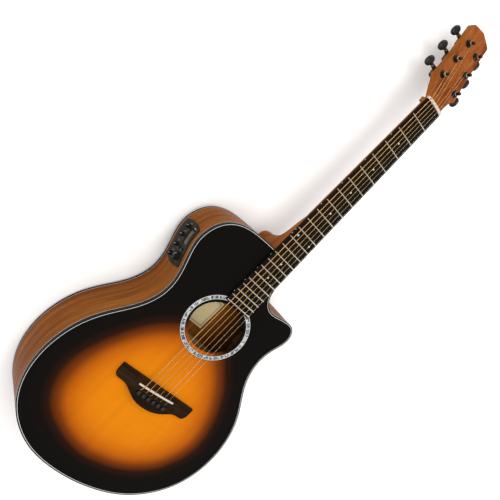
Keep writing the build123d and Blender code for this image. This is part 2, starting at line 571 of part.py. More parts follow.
# ---------------------------------------------------------------- tuners
HB = -(HEAD_T + VENEER_T)
bush, house, screws, washers = [], [], [], []
for k, (xp, sp_) in enumerate(POSTS):
    sg = -1 if xp < 0 else 1
    n = k + 1

    def L(x, s, h, shape):
        return HEAD_PL * (Pos(xp + sg * x, sp_ + s, h) * shape)

    # washer, hex nut and threaded sleeve in one piece
    b = Pos(0, 0, 0.5) * Cylinder(7.0, 1.0) + Pos(0, 0, 1.0) * extrude(RegularPolygon(5.6, 6), 2.2)
    b = b + Pos(0, 0, HB / 2 + 0.25) * Cylinder(5.0, -HB + 0.5)
    b = b - Cylinder(POST_R + 0.06, 60)
    bush.append(HEAD_PL * (Pos(xp, sp_, 0) * b))
    # die-cast housing with its shaft arm
    body = Box(16.0, 20.0, 10.0)
    body = fillet(body.edges().filter_by(Axis.Z), 3.0)
    body = fillet(body.faces().sort_by(Axis.Z)[0].edges(), 1.5)
    h = Pos(0, 3.0, HB - 5.0) * body
    h = h + Pos(sg * 11.0, WORM_OFF, WORM_H) * (Rotation(0, 90, 0) * Cylinder(3.8, 8.0))
    h = h + Pos(0, -9.6, HB - 1.0) * Box(6.0, 6.0, 2.0)
    h = h - Pos(0, 0, HB) * Cylinder(POST_R + 0.06, 12)
    h = h - Pos(0, 0, WORM_H) * Cylinder(4.6, 6.4)
    h = h - Pos(0, WORM_OFF, WORM_H) * (Rotation(0, 90, 0) * Cylinder(2.75, 12.6))
    h = h - Pos(sg * 10, WORM_OFF, WORM_H) * (Rotation(0, 90, 0) * Cylinder(1.86, 20))
    h = h - Pos(0, -11.0, HB - 1.0) * Cylinder(1.0, 6)
    house.append(HEAD_PL * (Pos(xp, sp_, 0) * h))
    sc = Pos(0, -11.0, HB - 2.5) * Cylinder(1.9, 1.0) + Pos(0, -11.0, HB + 2.4) * Cylinder(0.95, 9.0)
    sc = sc - Pos(0, -11.0, HB - 3.0) * Box(0.5, 5.0, 0.8)
    screws.append(HEAD_PL * (Pos(xp, sp_, 0) * sc))
    w = Pos(sg * 15.6, WORM_OFF, WORM_H) * (Rotation(0, 90, 0) * (Cylinder(3.6, 0.8) - Cylinder(1.86, 2)))
    washers.append(HEAD_PL * (Pos(xp, sp_, 0) * w))
    # post with its gear and the turns of string on it
    i, r, hh = coils[k]
    turns = 3 if k < 4 else 4
    cz0 = hh + r + 0.12
    p = Pos(0, 0, (POST_TOP + WORM_H - 2.6) / 2) * Cylinder(POST_R, POST_TOP - WORM_H + 2.6)
    p = fillet(p.edges().sort_by(Axis.Z)[-1], 1.2)
    waist_z = (cz0 + cz0 + turns * 2 * r * 0.98) / 2
    gear = Cylinder(4.2, 5.0)
    for q in range(16):
        gear = gear - Rotation(0, 0, q * 22.5) * (Pos(4.3, 0, 0) * Box(1.0, 0.7, 6))
    gear = Pos(0, 0, WORM_H) * gear - Cylinder(POST_R, 60)
    p = p - Pos(0, 0, hh + 4.6) * (Rotation(0, 90, 20) * Cylinder(0.9, 20))
    p = p - Pos(0, 0, POST_TOP) * Box(0.9, 10, 1.2)
    wraps = Pos(0, 0, cz0 + turns * r) * (Cylinder(POST_R + 2 * r, 2 * r * turns) - Cylinder(POST_R, 60))
    for q in range(turns + 1):
        zq = cz0 + q * 2 * r
        gro = Pos(0, 0, zq) * Torus(POST_R + 2 * r + 0.12, r * 0.55)
        wraps = wraps - gro
    put("tuner_post_%d" % n, HEAD_PL * (Pos(xp, sp_, 0) * p), HEAD_PL * (Pos(xp, sp_, 0) * gear), HEAD_PL * (Pos(xp, sp_, 0) * wraps))
    # key: worm, shaft and oval button
    key = Pos(0, 0, 0) * Cylinder(2.5, 12.0)
    for q in range(5):
        key = key - Pos(0, 0, -4.4 + 2.2 * q) * Torus(2.75, 0.55)
    key = key + Pos(0, 0, 12.0) * Cylinder(1.8, 14.0)
    hub = Pos(0, 0, 19.2) * Cylinder(2.7, 6.0)
    key = key + hub
    key = Rotation(0, 90, 0) * key
    bt = fillet(extrude(Ellipse(BUTTON_A, BUTTON_B), 8.0).edges(), 3.3)
    bt = Pos(0, 0, -4) * bt
    bt = Pos(BUTTON_X, 0, 0) * (Rotation(BUTTON_TURN, 0, 0) * bt)
    key = key + bt
    if sg < 0:
        key = mirror(key, Plane.YZ)
    put("tuner_key_%d" % n, HEAD_PL * (Pos(xp, sp_ + WORM_OFF, WORM_H) * key))
put("tuner_bushings", *bush)
put("tuner_housings", *house)
put("tuner_screws", *screws)
put("tuner_washers", *washers)

# ---------------------------------------------------------------- preamp on the bass side
ARC0, ARC1 = 141.5, 215.3
# arc length from the neck joint along the bass side, used to place the controls
SLEN = [0.0]
FINE = []
for i in range(1201):
    p = base.position_at(i / 1200 * 0.5)
    t = base.tangent_at(i / 1200 * 0.5)
    FINE.append((p.X, p.Y, t.X, t.Y))
for a, b in zip(FINE[:-1], FINE[1:]):
    SLEN.append(SLEN[-1] + math.hypot(b[0] - a[0], b[1] - a[1]))


def at_arc(s, out=0.0):
    s = s - 2.0          # the arc table starts at the corner of the neck joint
    j = min(range(len(SLEN)), key=lambda q: abs(SLEN[q] - s))
    x, y, tx, ty = FINE[j]
    return (x + ty * out, y - tx * out, (ty, -tx))


cap = make_face(W([Line((-421.5, PRE_TOP), (-484.5, PRE_TOP)),
                      ThreePointArc((-484.5, PRE_TOP), (-489.6, (PRE_TOP + PRE_BOT) / 2), (-484.5, PRE_BOT)),
                      Line((-484.5, PRE_BOT), (-421.5, PRE_BOT)),
                      ThreePointArc((-421.5, PRE_BOT), (-416.4, (PRE_TOP + PRE_BOT) / 2), (-421.5, PRE_TOP))]))
cap_pl = Plane(origin=(-100, 0, 0), x_dir=(0, 1, 0), z_dir=(1, 0, 0))
cap_prism = extrude(cap_pl * cap, -60)
panel = band(-PRE_T, 0.0, PRE_BOT - 2, PRE_TOP + 2) & cap_prism
case = (pre_box(31.0, 23.0, 30, 30) & plate(0.0, -90, -10))


def ctrl(s, z):
    x, y, n = at_arc(s)
    return Plane(origin=(x, y, z), z_dir=(n[0], n[1], 0))


CTRL = {"knob_bass": (153.0, -54.5), "knob_middle": (169.0, -55.5), "knob_treble": (186.5, -58.0), "knob_presence": (206.0, -63.0)}
VOL = (199.5, -38.5)
BUT = {"button_tuner": (186.0, -32.5), "button_phase": (187.0, -44.0)}
for nme, (s, z) in CTRL.items():
    pl = ctrl(s, z)
    panel = panel - pl * (Pos(0, 0, 0) * Cylinder(2.05, 12))
    case = case - pl * (Pos(0, 0, -2.5) * Cylinder(2.05, 7))
    kb = Pos(0, 0, PRE_T + 0.5 + 3.2) * Cylinder(3.6, 6.4)
    kb = fillet(kb.edges().sort_by(Axis.Z)[-1], 0.7)
    for q in range(12):
        kb = kb - Rotation(0, 0, 30 * q) * (Pos(3.75, 0, PRE_T + 4.5) * Cylinder(0.45, 8))
    kb = kb - Pos(0, 1.9, PRE_T + 0.5 + 6.4) * Box(0.6, 3.4, 0.6)
    spindle = Pos(0, 0, -0.6) * Cylinder(2.0, 7.4)
    put(nme, pl * (kb - spindle), pl * spindle)
pl = ctrl(*VOL)
panel = panel - pl * Cylinder(3.05, 12)
case = case - pl * (Pos(0, 0, -2.5) * Cylinder(3.05, 7))
kb = Pos(0, 0, PRE_T + 0.5 + 3.6) * Cylinder(7.0, 7.2)
kb = fillet(kb.edges().sort_by(Axis.Z)[-1], 1.5)
for q in range(20):
    kb = kb - Rotation(0, 0, 18 * q) * (Pos(7.2, 0, PRE_T + 5.0) * Cylinder(0.5, 10))
kb = kb - Pos(0, 3.9, PRE_T + 0.5 + 7.2) * Box(0.8, 4.6, 0.8)
spindle = Pos(0, 0, -0.6) * Cylinder(3.0, 7.4)
put("knob_volume", pl * (kb - spindle), pl * spindle)
for nme, (s, z) in BUT.items():
    pl = ctrl(s, z)
    panel = panel - pl * Cylinder(2.4, 12)
    case = case - pl * (Pos(0, 0, -3.0) * Cylinder(2.4, 8))
    bu = Pos(0, 0, 1.2) * Cylinder(2.2, 5.4)
    bu = fillet(bu.edges().sort_by(Axis.Z)[-1], 0.5)
    put(nme, pl * bu)
x0, y0, n0 = at_arc(165.0)
disp_pl = Plane(origin=(x0, y0, -34.2), x_dir=(-n0[1], n0[0], 0), z_dir=(n0[0], n0[1], 0))
disp_box = disp_pl * Box(24.0, 10.5, 20)
groove = band(-PRE_T - 1, -PRE_T + 0.9, PRE_BOT, PRE_TOP)
panel = panel - (disp_box & groove)
disp = disp_box & band(-PRE_T + 0.2, -PRE_T + 0.9, PRE_BOT, PRE_TOP)
put("preamp_panel", panel)
put("preamp_display", disp)
put("preamp_case", case)

# ---------------------------------------------------------------- endpin jack
TAIL_Y = -846.5
ej = cyl((0, TAIL_Y, -55), (0, 1, 0), 6.0, 27.0)
ej = ej + cyl((0, -826.0, -55), (0, 1, 0), 8.5, 3.5)
ej = ej + cyl((0, -847.6, -55), (0, 1, 0), 8.5, 1.08)
ejp = make_face(W([Polyline((0, 0), (7.0, 0), (6.0, 2.0), (5.2, 4.2), (5.4, 6.6), (7.4, 8.8), (7.6, 10.0), (6.8, 11.0), (0, 11.0), (0, 0))]))
ejp = Plane(origin=(0, -847.2, -55), x_dir=(1, 0, 0), z_dir=(0, 0, 1)) * ejp
ejb = revolve(mirror(ejp, Plane(origin=(0, -847.2, -55), z_dir=(0, 1, 0))), Axis((0, -847.2, -55), (0, 1, 0)), 360)
ej = ej + ejb
ej = ej - cyl((0, -870, -55), (0, 1, 0), 3.3, 42)
put("endpin_jack", ej)

# ---------------------------------------------------------------- write out
if __name__ == "__main__":
    loc = Location((0, SHIFT_Y, SHIFT_Z))
    lo = [1e9] * 3
    hi = [-1e9] * 3
    for name, sol in nodes.items():
        moved = [s.moved(loc) for s in sol]
        comp = moved[0] if len(moved) == 1 else Compound(children=moved)
        comp.label = name
        export_step(comp, "parts/%s.step" % name)
        bb_ = comp.bounding_box()
        for a, (u, v) in enumerate(((bb_.min.X, bb_.max.X), (bb_.min.Y, bb_.max.Y), (bb_.min.Z, bb_.max.Z))):
            lo[a] = min(lo[a], u)
            hi[a] = max(hi[a], v)
    print(len(nodes), "nodes", [round(v, 3) for v in lo], [round(v, 3) for v in hi])
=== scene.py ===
import bpy, bmesh, json, math, random
from mathutils import Vector, Matrix, noise


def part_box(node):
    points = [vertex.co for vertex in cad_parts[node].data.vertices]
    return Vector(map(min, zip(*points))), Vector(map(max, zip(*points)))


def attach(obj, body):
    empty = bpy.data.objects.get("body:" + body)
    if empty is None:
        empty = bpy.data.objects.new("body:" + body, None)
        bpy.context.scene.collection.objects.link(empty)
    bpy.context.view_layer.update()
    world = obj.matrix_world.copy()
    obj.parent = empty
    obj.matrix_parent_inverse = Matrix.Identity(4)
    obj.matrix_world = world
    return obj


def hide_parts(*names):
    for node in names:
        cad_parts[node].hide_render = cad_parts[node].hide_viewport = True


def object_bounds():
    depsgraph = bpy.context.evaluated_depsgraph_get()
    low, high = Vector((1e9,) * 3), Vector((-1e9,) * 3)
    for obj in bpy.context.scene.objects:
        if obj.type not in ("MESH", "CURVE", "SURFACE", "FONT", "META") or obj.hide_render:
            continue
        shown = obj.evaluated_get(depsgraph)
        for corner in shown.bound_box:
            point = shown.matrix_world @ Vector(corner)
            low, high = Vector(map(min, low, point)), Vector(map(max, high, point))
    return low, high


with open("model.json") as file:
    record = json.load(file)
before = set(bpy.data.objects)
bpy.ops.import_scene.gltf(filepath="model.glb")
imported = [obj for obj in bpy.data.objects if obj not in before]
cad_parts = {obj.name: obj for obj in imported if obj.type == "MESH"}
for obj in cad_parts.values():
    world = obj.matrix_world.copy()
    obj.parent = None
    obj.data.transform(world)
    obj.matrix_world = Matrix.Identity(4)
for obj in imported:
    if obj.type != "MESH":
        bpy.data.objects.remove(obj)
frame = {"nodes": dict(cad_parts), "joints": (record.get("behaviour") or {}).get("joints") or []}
BOX0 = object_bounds()
NODES = frame["nodes"]
JOINTS = {j["name"]: j for j in frame["joints"]}

# the model's working axes: y = 0 at the nut, z = 0 at the fret crowns, in mm
SY, SZ = 0.34119, 0.103
TILT = math.radians(14.0)


def P(x, y, z):
    return Vector((x / 1000.0, y / 1000.0 + SY, z / 1000.0 + SZ))


HEAD = Matrix(((1, 0, 0, 0),
               (0, math.cos(TILT), math.sin(TILT), SY),
               (0, -math.sin(TILT), math.cos(TILT), -0.005 + SZ),
               (0, 0, 0, 1)))


def H(x, s, h):
    return HEAD @ Vector((x / 1000.0, s / 1000.0, h / 1000.0))


# ------------------------------------------------------------------ node tools
EXPO = 1.35


def lin(c):
    """0-255 display colour to linear, at the stage's light level."""
    out = []
    for v in c:
        v = v / 255.0
        out.append((v / 12.92 if v <= 0.04045 else ((v + 0.055) / 1.055) ** 2.4) / EXPO)
    return (out[0], out[1], out[2], 1.0)


class Mat:
    def __init__(self, name, rough=0.4, metal=0.0, coat=0.0, coat_rough=0.1, spec=0.5):
        self.m = bpy.data.materials.new(name)
        self.m.use_nodes = True
        self.t = self.m.node_tree
        self.b = self.t.nodes["Principled BSDF"]
        self.b.inputs["Roughness"].default_value = rough
        self.b.inputs["Metallic"].default_value = metal
        self.b.inputs["Coat Weight"].default_value = coat
        self.b.inputs["Coat Roughness"].default_value = coat_rough
        self.b.inputs["Specular IOR Level"].default_value = spec
        self.co = self.n("ShaderNodeTexCoord").outputs["Object"]

    def n(self, kind, **kw):
        nd = self.t.nodes.new(kind)
        for k, v in kw.items():
            if k in nd.inputs.keys():
                nd.inputs[k].default_value = v
            else:
                setattr(nd, k, v)
        return nd

    def link(self, a, b):
        self.t.links.new(a, b)

    def put(self, sock, val):
        if hasattr(val, "is_linked") or hasattr(val, "links"):
            self.t.links.new(val, sock)
        else:
            sock.default_value = val

    def mapping(self, scale, rot=(0, 0, 0), src=None):
        mp = self.n("ShaderNodeMapping")
        mp.inputs["Scale"].default_value = scale
        mp.inputs["Rotation"].default_value = rot
        self.link(src or self.co, mp.inputs["Vector"])
        return mp.outputs["Vector"]

    def noise(self, vec, scale=1.0, detail=4.0, rough=0.55, dist=0.0):
        nd = self.n("ShaderNodeTexNoise")
        nd.inputs["Scale"].default_value = scale
        nd.inputs["Detail"].default_value = detail
        nd.inputs["Roughness"].default_value = rough
        nd.inputs["Distortion"].default_value = dist
        self.link(vec, nd.inputs["Vector"])
        return nd.outputs["Fac"]

    def math(self, op, a, b=None, c=None, clamp=False):
        nd = self.n("ShaderNodeMath", operation=op)
        nd.use_clamp = clamp
        self.put(nd.inputs[0], a)
        if b is not None:
            self.put(nd.inputs[1], b)
        if c is not None:
            self.put(nd.inputs[2], c)
        return nd.outputs[0]

    def ramp(self, fac, stops, interp="LINEAR"):
        nd = self.n("ShaderNodeValToRGB")
        cr = nd.color_ramp
        cr.interpolation = interp
        while len(cr.elements) < len(stops):
            cr.elements.new(0.5)
        for e, (p, c) in zip(cr.elements, stops):
            e.position = p
            e.color = c if len(c) == 4 else (c[0], c[1], c[2], 1)
        self.link(fac, nd.inputs["Fac"])
        return nd.outputs["Color"]

    def range(self, fac, a, b, c, d):
        nd = self.n("ShaderNodeMapRange")
        for i, v in enumerate((a, b, c, d)):
            nd.inputs[1 + i].default_value = v
        self.link(fac, nd.inputs[0])
        return nd.outputs[0]

    def mix(self, fac, a, b, mode="MIX"):
        nd = self.n("ShaderNodeMix", data_type="RGBA", blend_type=mode)
        self.put(nd.inputs[0], fac)
        self.put(nd.inputs[6], a)
        self.put(nd.inputs[7], b)
        return nd.outputs[2]

    def color(self, c):
        self.put(self.b.inputs["Base Color"], c)

    def rough(self, r):
        self.put(self.b.inputs["Roughness"], r)

    def bump(self, height, strength=0.3, dist=0.0005, prev=None):
        nd = self.n("ShaderNodeBump")
        nd.inputs["Strength"].default_value = strength
        nd.inputs["Distance"].default_value = dist
        self.link(height, nd.inputs["Height"])
        if prev is not None:
            self.link(prev, nd.inputs["Normal"])
        self.link(nd.outputs["Normal"], self.b.inputs["Normal"])
        return nd.outputs["Normal"]


def wood(name, dark, mid, light, along=(0, 1, 0), rough=0.38, coat=0.0, pores=0.6, fibre=1.0, figure=1.0, coat_rough=0.25, spec=0.025):
    """Straight-grained timber: long colour bands, fine fibres and open pores that run one way."""
    m = Mat(name, rough=rough, coat=coat, coat_rough=coat_rough, spec=spec)

    def sc(lo, hi):
        return tuple(lo if a else hi for a in along)

    band = m.noise(m.mapping(sc(3.0, 70.0)), 1.0, 4.0, 0.6, 0.5)
    fib = m.noise(m.mapping(sc(14.0, 620.0)), 1.0, 4.0, 0.6, 0.2)
    pore = m.noise(m.mapping(sc(70.0, 1500.0)), 1.0, 2.0, 0.5, 0.0)
    fleck = m.noise(m.mapping(sc(16.0, 300.0)), 1.0, 3.0, 0.6, 0.6)
    base = m.ramp(band, [(0.28, dark), (0.5, mid), (0.74, light)])
    f = m.range(fib, 0.3, 0.7, 1.0 - 0.20 * fibre, 1.0 + 0.13 * fibre)
    f2 = m.range(fleck, 0.3, 0.72, 1.0 - 0.20 * figure, 1.0 + 0.13 * figure)
    g = m.math("MULTIPLY", f, f2)
    comb = m.n("ShaderNodeCombineColor")
    for i in range(3):
        m.link(g, comb.inputs[i])
    col = m.mix(1.0, base, comb.outputs[0], "MULTIPLY")
    pm = m.range(pore, 0.60, 0.70, 0.0, pores)
    col = m.mix(pm, col, (dark[0] * 0.35, dark[1] * 0.35, dark[2] * 0.35, 1))
    m.color(col)
    m.rough(m.range(fib, 0.25, 0.75, rough - 0.05, rough + 0.07))
    h = m.math("SUBTRACT", m.math("MULTIPLY", fib, 0.5), pm)
    m.bump(h, 0.18, 0.00012)
    return m


def plain(name, c, rough=0.35, metal=0.0, coat=0.0, mottle=0.06, grain=900.0, bump=0.06, dist=0.00006, scratch=0.05, spec=0.08, coat_rough=0.1):
    """Moulded, cast or polished surface: faint mottling, fine surface grain and hairline wear."""
    m = Mat(name, rough=rough, metal=metal, coat=coat, spec=spec, coat_rough=coat_rough)
    big = m.noise(m.co, 38.0, 3.0, 0.5)
    fine = m.noise(m.co, grain, 3.0, 0.6)
    scr = m.noise(m.mapping((60.0, 1100.0, 700.0), (0.5, 0.3, 0.7)), 1.0, 2.0, 0.5)
    a = tuple(max(0.0, v * (1 - mottle)) for v in c[:3]) + (1,)
    b = tuple(min(1.0, v * (1 + mottle) + 0.003) for v in c[:3]) + (1,)
    m.color(m.ramp(big, [(0.3, a), (0.7, b)]))
    r = m.range(fine, 0.3, 0.7, rough - 0.04, rough + 0.05)
    s = m.range(scr, 0.62, 0.72, 0.0, scratch)
    m.rough(m.math("ADD", r, s, clamp=True))
    m.bump(fine, bump, dist)
    return m


# ------------------------------------------------------------------ materials
M = {}


def sunburst():
    m = Mat("top_sunburst", rough=0.42, coat=0.0, coat_rough=0.22, spec=0.04)
    sep = m.n("ShaderNodeSeparateXYZ")
    m.link(m.co, sep.inputs[0])
    wob = m.noise(m.co, 9.0, 2.0, 0.5)
    yc = SY - 0.690
    x = m.math("ABSOLUTE", sep.outputs[0])
    y = m.math("SUBTRACT", sep.outputs[1], yc)
    up = m.math("GREATER_THAN", y, 0.0)
    ya = m.math("ABSOLUTE", y)
    b = m.math("ADD", m.math("MULTIPLY", up, 0.046), 0.104)
    p = m.math("ADD", m.math("MULTIPLY", up, -0.45), 2.15)
    rx = m.math("POWER", m.math("DIVIDE", x, 0.136), p)
    ry = m.math("POWER", m.math("DIVIDE", ya, b), p)
    rho = m.math("POWER", m.math("ADD", rx, ry), m.math("DIVIDE", 1.0, p))
    rho = m.math("ADD", rho, m.range(wob, 0.3, 0.7, -0.02, 0.02))
    half = m.math("MULTIPLY", rho, 0.5)
    burst = m.ramp(half, [(0.0, lin((236, 138, 9))), (0.25, lin((231, 132, 8))), (0.33, lin((224, 124, 8))), (0.385, lin((211, 112, 7))),
                          (0.44, lin((188, 94, 6))), (0.495, lin((122, 54, 5))), (0.55, lin((42, 18, 5))), (0.605, lin((15, 9, 6))), (0.70, lin((11, 9, 7)))])
    # spruce: narrow year rings along the body, silky cross figure
    ring = m.n("ShaderNodeTexWave", wave_type="BANDS", bands_direction="X", wave_profile="SAW")
    ring.inputs["Scale"].default_value = 230.0
    ring.inputs["Distortion"].default_value = 0.7
    ring.inputs["Detail"].default_value = 2.0
    ring.inputs["Detail Scale"].default_value = 0.6
    m.link(m.mapping((1.0, 0.03, 1.0)), ring.inputs["Vector"])
    silk = m.noise(m.mapping((14.0, 160.0, 14.0)), 1.0, 3.0, 0.6)
    soft = m.noise(m.mapping((120.0, 1.6, 40.0)), 1.0, 3.0, 0.5)
    g = m.math("MULTIPLY", m.range(ring.outputs["Fac"], 0.0, 1.0, 1.02, 0.95), m.range(silk, 0.3, 0.7, 0.985, 1.015))
    g = m.math("MULTIPLY", g, m.range(soft, 0.3, 0.7, 0.965, 1.03))
    comb = m.n("ShaderNodeCombineColor")
    for i in range(3):
        m.link(g, comb.inputs[i])
    m.color(m.mix(1.0, burst, comb.outputs[0], "MULTIPLY"))
    fine = m.noise(m.co, 260.0, 3.0, 0.5)
    m.rough(m.range(fine, 0.3, 0.7, 0.38, 0.48))
    m.bump(m.math("MULTIPLY", ring.outputs["Fac"], 0.4), 0.05, 0.0001)
    return m


MAH = (lin((108, 58, 18)), lin((152, 90, 32)), lin((182, 118, 52)))
# painted shade: the sides take the back's mahogany darkened and made more saturated, for the shade that falls along the
# sides
SIDE_MAH_SHADED = [tuple(c * f for c, f in zip(col, (0.90, 0.80, 0.60))) for col in MAH]
M["side"] = wood("side_mahogany_painted_shade", SIDE_MAH_SHADED[0], SIDE_MAH_SHADED[1], SIDE_MAH_SHADED[2], along=(1, 1, 0), rough=0.34, coat=0.0, spec=0.02)
M["back"] = wood("back_mahogany", MAH[0], MAH[1], MAH[2], along=(0, 1, 0), rough=0.40, coat=0.0)
M["neck"] = wood("neck_mahogany", lin((126, 66, 16)), lin((160, 90, 28)), lin((190, 114, 42)), along=(0, 1, 0), rough=0.40, coat=0.0, figure=0.8)
M["veneer"] = wood("headstock_mahogany", lin((110, 50, 18)), lin((158, 84, 36)), lin((186, 108, 54)), along=(0, 1, 0), rough=0.34, coat=0.0, pores=0.5, figure=1.4)
M["board"] = wood("fretboard_rosewood", lin((14, 11, 8)), lin((27, 22, 17)), lin((40, 32, 25)), along=(0, 1, 0), rough=0.5, coat=0.0, pores=0.8, spec=0.03)
M["bridge"] = wood("bridge_rosewood", lin((20, 12, 5)), lin((42, 27, 13)), lin((64, 43, 23)), along=(1, 0, 0), rough=0.48, coat=0.0, pores=0.8, spec=0.03)
M["spruce_in"] = wood("bare_spruce", lin((176, 138, 92)), lin((200, 164, 116)), lin((216, 184, 138)), along=(1, 1, 0), rough=0.7, coat=0.0, pores=0.1)
M["inner"] = wood("bare_hardwood", lin((120, 76, 44)), lin((150, 100, 62)), lin((176, 122, 80)), along=(0, 0, 1), rough=0.7, coat=0.0, pores=0.3)
M["lining"] = wood("bare_basswood", lin((164, 128, 88)), lin((186, 150, 108)), lin((204, 170, 128)), along=(1, 1, 0), rough=0.72, coat=0.0, pores=0.15)
M["top"] = sunburst()
M["black_bind"] = plain("black_binding", (0.006, 0.006, 0.006), rough=0.22, spec=0.05)
M["white_line"] = plain("white_line", lin((214, 214, 208)), rough=0.35, mottle=0.03)
M["cream"] = plain("cream_plastic", lin((222, 204, 184)), rough=0.36, mottle=0.05, spec=0.3)
M["black_line"] = plain("black_line", (0.006, 0.006, 0.006), rough=0.3)
M["fret"] = plain("nickel_silver", (0.56, 0.50, 0.40), rough=0.26, metal=1.0, mottle=0.05, scratch=0.12)
M["steel"] = plain("plain_steel", (0.56, 0.48, 0.34), rough=0.28, metal=1.0, scratch=0.1)
M["dark_steel"] = plain("dark_steel", (0.16, 0.16, 0.16), rough=0.35, metal=1.0)
M["black_metal"] = plain("black_metal", (0.008, 0.008, 0.008), rough=0.20, mottle=0.1, scratch=0.12, spec=0.2)
M["black_gloss"] = plain("black_gloss", (0.006, 0.006, 0.006), rough=0.13, mottle=0.1, scratch=0.08, spec=0.25)
M["brass"] = plain("pale_brass", (0.62, 0.48, 0.26), rough=0.3, metal=1.0)
M["panel"] = plain("panel_plastic", lin((40, 40, 33)), rough=0.40, mottle=0.2, grain=2600.0, bump=0.35, dist=0.00008, spec=0.03)
M["knob"] = plain("knob_plastic", (0.005, 0.005, 0.005), rough=0.36, mottle=0.1, grain=1800.0, bump=0.15, spec=0.06)
M["case"] = plain("case_plastic", (0.012, 0.012, 0.012), rough=0.55)
M["mark"] = plain("printed_mark", lin((190, 186, 170)), rough=0.5, mottle=0.04)
M["pearl"] = plain("pearl_dot", lin((214, 214, 206)), rough=0.18, mottle=0.12, grain=300.0)


def display():
    m = Mat("display_window", rough=0.18, spec=0.06)
    sm = m.noise(m.co, 60.0, 2.0, 0.5)
    m.color(m.ramp(sm, [(0.3, lin((84, 73, 60))), (0.7, lin((112, 98, 82)))]))
    fine = m.noise(m.co, 900.0, 2.0, 0.5)
    m.rough(m.range(fine, 0.3, 0.7, 0.14, 0.24))
    m.bump(fine, 0.03, 0.00003)
    return m


def paper():
    m = Mat("label_paper", rough=0.8, spec=0.2)
    sep = m.n("ShaderNodeSeparateXYZ")
    m.link(m.co, sep.inputs[0])
    fib = m.noise(m.co, 700.0, 4.0, 0.6)
    age = m.noise(m.co, 30.0, 3.0, 0.5)
    base = m.ramp(age, [(0.25, (0.80, 0.62, 0.30, 1)), (0.75, (0.96, 0.82, 0.50, 1))])
    base = m.mix(m.range(fib, 0.4, 0.7, 0.0, 0.18), base, lin((150, 124, 78)))
    # a double rule near the edge
    dx = m.math("SUBTRACT", 0.040, m.math("ABSOLUTE", sep.outputs[0]))
    yy = m.math("SUBTRACT", sep.outputs[1], SY - 0.5188)
    dy = m.math("SUBTRACT", 0.030, m.math("ABSOLUTE", yy))
    d = m.math("MINIMUM", dx, dy)
    l1 = m.math("COMPARE", d, 0.0035, 0.0005)
    l2 = m.math("COMPARE", d, 0.0052, 0.00022)
    ln = m.math("MAXIMUM", l1, l2)
    m.color(m.mix(m.math("MULTIPLY", ln, 0.75), base, lin((70, 50, 34))))
    m.bump(fib, 0.25, 0.0001)
    return m


def wound():
    """Bronze-wrapped string: the wrap shows as close ridges across the length, with painted shade in the grooves
    between them.
    """
    m = Mat("bronze_wound", rough=0.32, metal=1.0)
    uv = m.n("ShaderNodeTexCoord").outputs["UV"]
    w = m.n("ShaderNodeTexWave", wave_type="BANDS", bands_direction="Y", wave_profile="SIN")
    w.inputs["Scale"].default_value = 1.0
    mp = m.mapping((1.0, 850.0, 1.0), src=uv)
    m.link(mp, w.inputs["Vector"])
    tone = m.noise(m.co, 55.0, 3.0, 0.5)
    base = m.ramp(tone, [(0.3, (0.50, 0.27, 0.09, 1)), (0.7, (0.68, 0.41, 0.16, 1))])
    # painted shade: the colour darkens toward brown in the troughs between the wraps
    m.color(m.mix(m.range(w.outputs["Fac"], 0.0, 0.5, 0.55, 0.0), base, (0.16, 0.075, 0.03, 1)))
    m.rough(m.range(tone, 0.3, 0.7, 0.26, 0.4))
    m.bump(w.outputs["Fac"], 0.5, 0.00008)
    return m


def shell():
    """Polished shell mosaic: every tile has its own tint from a face colour, with cloudy colour inside it."""
    m = Mat("shell_mosaic", rough=0.16, spec=0.4)
    at = m.n("ShaderNodeAttribute")
    at.attribute_name = "tint"
    cl = m.noise(m.mapping((240.0, 240.0, 240.0)), 1.0, 3.0, 0.6, 1.5)
    v = m.noise(m.mapping((700.0, 500.0, 700.0)), 1.0, 2.0, 0.5, 2.5)
    shade = m.mix(m.range(cl, 0.40, 0.75, 0.0, 0.40), at.outputs["Color"], lin((220, 226, 224)))
    shade = m.mix(m.range(v, 0.52, 0.68, 0.0, 0.45), shade, lin((60, 70, 96)))
    m.color(shade)
    m.rough(m.range(cl, 0.3, 0.7, 0.12, 0.24))
    m.bump(v, 0.06, 0.00005)
    return m


M["display"] = display()
M["paper"] = paper()
M["wound"] = wound()
M["shell"] = shell()

SLOTS = {
    "soundboard": "top", "rosette_lines": "black_line", "back_panel": "back", "side_bass": "side", "side_treble": "side",
    "top_binding": "black_bind", "top_purfling": "white_line", "back_binding": "black_bind", "back_purfling": "white_line",
    "top_lining": "lining", "back_lining": "lining", "neck_block": "inner", "tail_block": "inner", "top_braces": "spruce_in",
    "back_braces": "spruce_in", "bridge_plate": "inner", "label": "paper", "neck": "neck", "headstock_veneer": "veneer",
    "fretboard": "board", "frets": "fret", "position_dots": "pearl", "nut": "cream", "saddle": "cream", "truss_rod": "dark_steel",
    "truss_rod_nut": "dark_steel", "bridge": "bridge", "pickup": "case", "tuner_housings": "black_metal",
    "tuner_bushings": "black_metal", "tuner_screws": "black_metal", "tuner_washers": "brass", "preamp_panel": "panel",
    "preamp_display": "display", "preamp_case": "case", "endpin_jack": "black_metal",
    "button_tuner": "knob", "button_phase": "knob", "rosette": "shell", "bridge_pins": "black_gloss",
    "strings_wound": "wound", "strings_plain": "steel",
}
BEVEL = {"bridge": 0.7, "nut": 0.35, "saddle": 0.5, "neck": 1.0, "headstock_veneer": 0.35, "fretboard": 0.35, "tuner_housings": 0.4,
         "tuner_bushings": 0.35, "preamp_panel": 0.7, "endpin_jack": 0.4, "top_binding": 0.5, "back_binding": 0.5,
         "button_tuner": 0.3, "button_phase": 0.3, "tuner_washers": 0.15, "tuner_screws": 0.2, "top_braces": 0.5, "back_braces": 0.5,
         "preamp_display": 0.12, "truss_rod_nut": 0.2}


